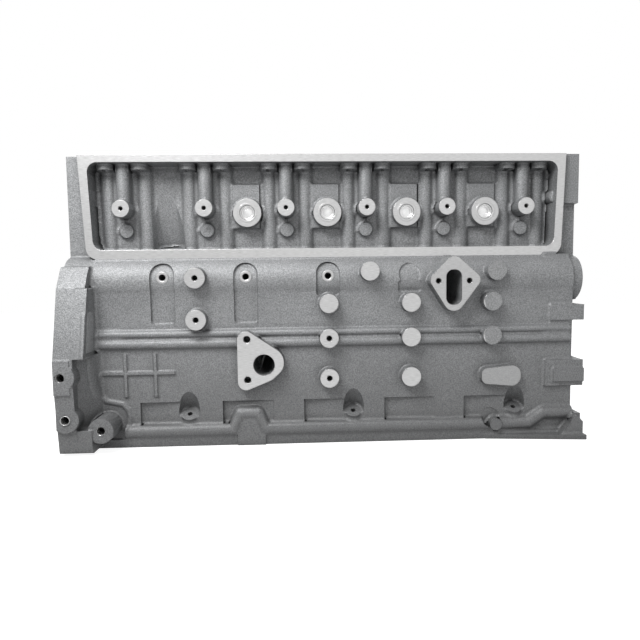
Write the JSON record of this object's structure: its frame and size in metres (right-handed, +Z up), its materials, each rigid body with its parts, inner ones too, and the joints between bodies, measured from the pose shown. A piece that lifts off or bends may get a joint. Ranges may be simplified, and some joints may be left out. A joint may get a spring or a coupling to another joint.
{
  "type": "engine block",
  "caption": "Bare cast-iron in-line engine block with tappet bay, cylinder and line bores, main bearing caps, core plugs and machined mounting pads.",
  "frame": {"origin": "on the crankshaft axis, in the middle of the fourth main bearing", "axes": "+X along the crankshaft from the front face to the rear face, +Z up the cylinders to the deck, the camshaft on the -Y side"},
  "size_m": [0.762, 0.32, 0.426],
  "materials": {
    "cast": "sand cast, unpainted",
    "bolt_steel": "black oxide",
    "plug_steel": "bright zinc plated",
    "bush_bronze": "bored"
  },
  "bodies": {
    "root": {"cylinder_block": "cast", "main_bearing_cap_1": "cast", "main_bearing_cap_2": "cast", "main_bearing_cap_3": "cast", "main_bearing_cap_4": "cast", "main_bearing_cap_5": "cast", "main_bearing_cap_6": "cast", "main_bearing_cap_7": "cast", "main_cap_bolts": "bolt_steel", "tappet_bay_core_plug_1": "plug_steel", "tappet_bay_core_plug_2": "plug_steel", "tappet_bay_core_plug_3": "plug_steel", "tappet_bay_core_plug_4": "plug_steel", "exhaust_side_core_plug_1": "plug_steel", "exhaust_side_core_plug_2": "plug_steel", "exhaust_side_core_plug_3": "plug_steel", "rear_camshaft_plug": "plug_steel", "front_camshaft_bushing": "bush_bronze", "front_gallery_plug": "plug_steel", "rear_gallery_plug": "plug_steel"}
  },
  "joints": []
}
